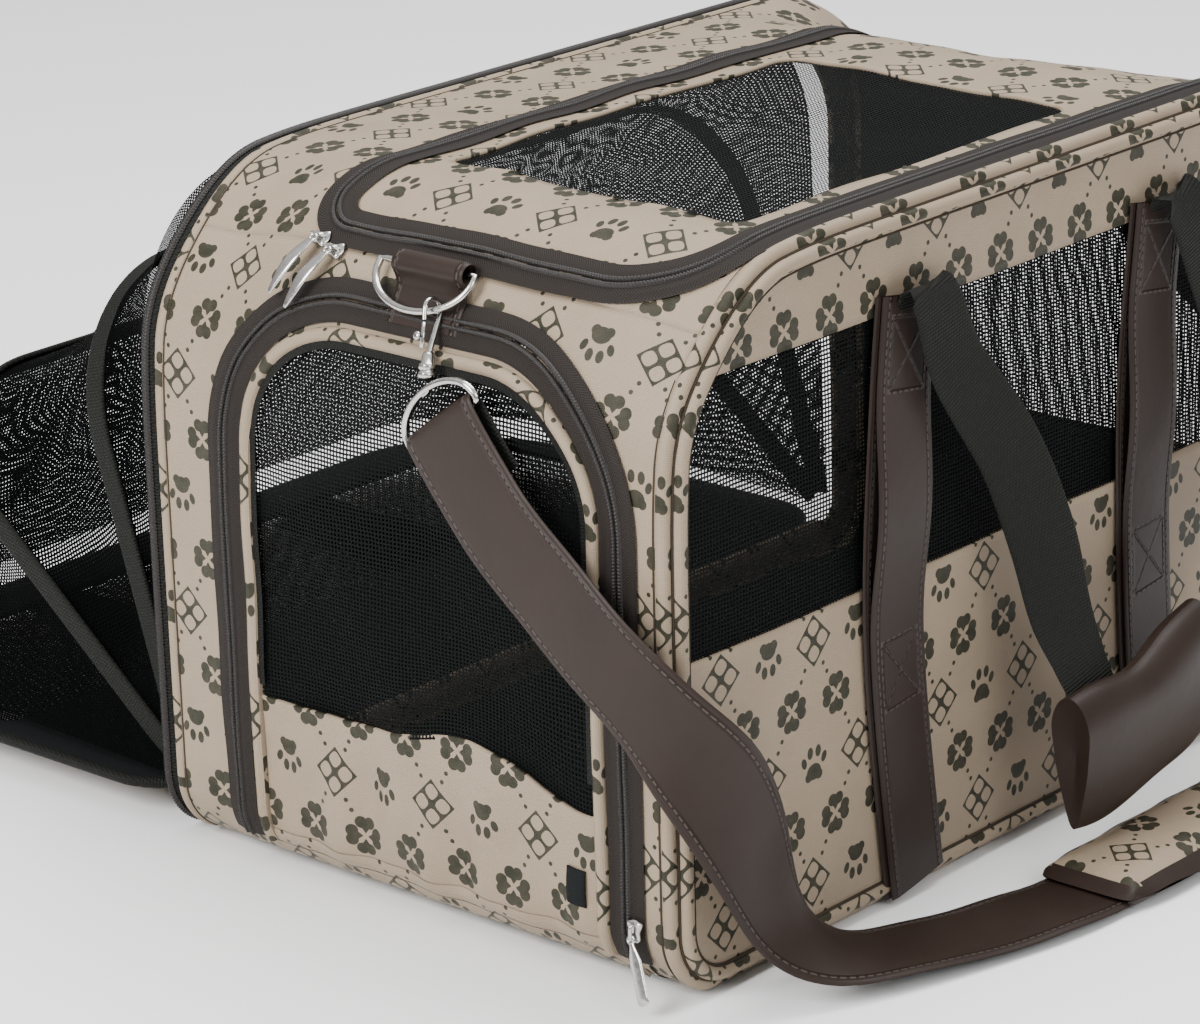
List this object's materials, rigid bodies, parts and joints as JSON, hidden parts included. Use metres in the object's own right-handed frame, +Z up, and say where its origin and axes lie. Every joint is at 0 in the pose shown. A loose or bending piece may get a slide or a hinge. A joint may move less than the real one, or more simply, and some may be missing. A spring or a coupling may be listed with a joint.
{
  "type": "soft-sided pet carrier",
  "caption": "Soft-sided pet carrier with a zipped arched front door, zipped top flap, mesh windows, handles, shoulder strap and a fold-out mesh room.",
  "frame": {"origin": "centre of the flat underside of the main body", "axes": "+Z up; the front door faces -Y and the rear end +Y; the right side with the hanging handle is +X and the fold-out mesh room is on -X"},
  "size_m": [0.736, 0.5832, 0.3418],
  "materials": {
    "printed_fabric": "beige woven polyester with a dark printed pattern, foam backed",
    "black_netting": "open black mesh",
    "brown_leather": "smooth dark brown imitation leather with stitched edges",
    "zip_tape": "dark brown herringbone tape with black coil teeth",
    "black_webbing": "ribbed black webbing",
    "nickel_metal": "polished nickel plate",
    "dark_lining": "dark blue-grey padded lining cloth",
    "base_board": "plain dark plastic board"
  },
  "bodies": {
    "carrier_body": {"base_board": "base_board", "bottom_panel": "printed_fabric", "fold_net_1": "black_netting", "front_panel": "printed_fabric", "front_zip_outer": "zip_tape", "left_piping": "printed_fabric", "left_rim": "printed_fabric", "rear_mesh": "black_netting", "rear_panel": "printed_fabric", "right_lower_panel": "printed_fabric", "right_mesh": "black_netting", "right_piping": "printed_fabric", "right_strap_front": "brown_leather", "right_strap_rear": "brown_leather", "right_upper_panel": "printed_fabric", "ring_tab_front": "brown_leather", "ring_tab_rear": "brown_leather", "shoulder_pad": "printed_fabric", "shoulder_strap_front": "brown_leather", "shoulder_strap_rear": "brown_leather", "top_panel": "printed_fabric", "top_zip_outer": "zip_tape"},
    "front_door": {"front_door": "printed_fabric", "front_door_mesh": "black_netting", "front_zip_inner": "zip_tape", "front_tag": "black_webbing"},
    "top_flap": {"top_flap": "printed_fabric", "top_flap_mesh": "black_netting", "top_zip_inner": "zip_tape"},
    "rib_1": {"rib_1": "black_webbing", "fold_net_2": "black_netting"},
    "rib_2": {"rib_2": "black_webbing", "fold_net_3": "black_netting"},
    "outer_panel": {"left_side_panel": "printed_fabric", "left_side_mesh": "black_netting", "left_strap_front": "brown_leather", "left_strap_rear": "brown_leather"},
    "left_handle": {"left_handle_front": "black_webbing", "left_handle_rear": "black_webbing", "left_grip": "brown_leather"},
    "right_handle": {"right_handle_front": "black_webbing", "right_handle_rear": "black_webbing", "right_grip": "brown_leather"},
    "floor_mat": {"floor_mat": "dark_lining"},
    "front_slider": {"front_slider": "nickel_metal"},
    "front_pull": {"front_pull": "nickel_metal"},
    "top_slider_left": {"top_slider_left": "nickel_metal"},
    "top_slider_right": {"top_slider_right": "nickel_metal"},
    "top_pull_left": {"top_pull_left": "nickel_metal"},
    "top_pull_right": {"top_pull_right": "nickel_metal"},
    "ring_front": {"ring_front": "nickel_metal"},
    "snap_hook_front": {"snap_hook_front": "nickel_metal"},
    "hook_bolt_front": {"hook_bolt_front": "nickel_metal"},
    "strap_ring_front": {"strap_ring_front": "nickel_metal"},
    "ring_rear": {"ring_rear": "nickel_metal"},
    "snap_hook_rear": {"snap_hook_rear": "nickel_metal"},
    "hook_bolt_rear": {"hook_bolt_rear": "nickel_metal"},
    "strap_ring_rear": {"strap_ring_rear": "nickel_metal"}
  },
  "joints": [
    {"name": "front_door_hinge", "type": "hinge", "parent": "carrier_body", "child": "front_door", "pos_m": [0.011, -0.26789, 0.016], "axis": [1, 0, 0], "range_deg": [0, 80], "deforming": ["shoulder_strap_front"]},
    {"name": "top_flap_hinge", "type": "hinge", "parent": "carrier_body", "child": "top_flap", "pos_m": [0, 0.18, 0.34], "axis": [-1, 0, 0], "range_deg": [0, 150]},
    {"name": "rib_1_fold", "type": "hinge", "parent": "carrier_body", "child": "rib_1", "pos_m": [-0.172, 0, 0.026], "axis": [0, 1, 0], "range_deg": [0, 16], "deforming": ["fold_net_1"]},
    {"name": "rib_2_fold", "type": "hinge", "parent": "rib_1", "child": "rib_2", "pos_m": [-0.172, 0, 0.026], "axis": [0, 1, 0], "range_deg": [0, 34], "deforming": ["fold_net_2"]},
    {"name": "outer_panel_fold", "type": "hinge", "parent": "rib_2", "child": "outer_panel", "pos_m": [-0.172, 0, 0.026], "axis": [0, 1, 0], "range_deg": [0, 38.4], "deforming": ["fold_net_3"]},
    {"name": "left_handle_swing", "type": "hinge", "parent": "outer_panel", "child": "left_handle", "pos_m": [-0.4495, 0, 0.006], "axis": [0, 1, 0], "range_deg": [0, 150]},
    {"name": "right_handle_swing", "type": "hinge", "parent": "carrier_body", "child": "right_handle", "pos_m": [0.1725, 0, 0.303], "axis": [0, -1, 0], "range_deg": [0, 150]},
    {"name": "floor_mat_lift", "type": "slide", "parent": "carrier_body", "child": "floor_mat", "axis": [0, 0, 1], "range_m": [0, 0.12]},
    {"name": "front_slider_travel", "type": "slide", "parent": "carrier_body", "child": "front_slider", "axis": [0, 0, 1], "range_m": [0, 0.15]},
    {"name": "front_pull_swing", "type": "hinge", "parent": "front_slider", "child": "front_pull", "pos_m": [0.14, -0.2801, 0.033], "axis": [-1, 0, 0], "range_deg": [0, 90]},
    {"name": "top_slider_left_travel", "type": "slide", "parent": "carrier_body", "child": "top_slider_left", "axis": [-1, 0, 0], "range_m": [0, 0.002]},
    {"name": "top_slider_right_travel", "type": "slide", "parent": "carrier_body", "child": "top_slider_right", "axis": [1, 0, 0], "range_m": [0, 0.026]},
    {"name": "top_pull_left_swing", "type": "hinge", "parent": "top_slider_left", "child": "top_pull_left", "pos_m": [-0.0665, -0.25412, 0.32062], "axis": [-1, 0, 0], "range_deg": [0, 60]},
    {"name": "top_pull_right_swing", "type": "hinge", "parent": "top_slider_right", "child": "top_pull_right", "pos_m": [-0.0545, -0.25746, 0.3171], "axis": [-1, 0, 0], "range_deg": [0, 60]},
    {"name": "ring_front_swing", "type": "hinge", "parent": "carrier_body", "child": "ring_front", "pos_m": [0.008, -0.25589, 0.31895], "axis": [-1, 0, 0], "range_deg": [0, 70]},
    {"name": "snap_hook_front_swing", "type": "hinge", "parent": "ring_front", "child": "snap_hook_front", "pos_m": [0.022, -0.26855, 0.30394], "axis": [-1, 0, 0], "range_deg": [0, 40]},
    {"name": "hook_bolt_front_slide", "type": "slide", "parent": "snap_hook_front", "child": "hook_bolt_front", "axis": [0.2163, -0.4129, -0.8847], "range_m": [0, 0.003], "stiffness_N_per_m": 60, "springref_m": -0.001},
    {"name": "strap_ring_front_swivel", "type": "hinge", "parent": "snap_hook_front", "child": "strap_ring_front", "pos_m": [0.02985, -0.28354, 0.27183], "axis": [0.2163, -0.4129, -0.8847], "range_deg": [-12, 12]},
    {"name": "ring_rear_swing", "type": "hinge", "parent": "carrier_body", "child": "ring_rear", "pos_m": [0.008, 0.27053, 0.29861], "axis": [1, 0, 0], "range_deg": [0, 70]},
    {"name": "snap_hook_rear_swing", "type": "hinge", "parent": "ring_rear", "child": "snap_hook_rear", "pos_m": [0.022, 0.27872, 0.28077], "axis": [1, 0, 0], "range_deg": [0, 40]},
    {"name": "hook_bolt_rear_slide", "type": "slide", "parent": "snap_hook_rear", "child": "hook_bolt_rear", "axis": [0.2163, 0.1614, -0.9629], "range_m": [0, 0.003], "stiffness_N_per_m": 60, "springref_m": -0.001},
    {"name": "strap_ring_rear_swivel", "type": "hinge", "parent": "snap_hook_rear", "child": "strap_ring_rear", "pos_m": [0.02985, 0.28458, 0.24582], "axis": [0.2163, 0.1614, -0.9629], "range_deg": [-5, 12]}
  ],
  "couplings": [
    {"joint": "rib_1_fold", "follows": "outer_panel_fold", "ratio": 0.416},
    {"joint": "rib_2_fold", "follows": "outer_panel_fold", "ratio": 0.885}
  ]
}
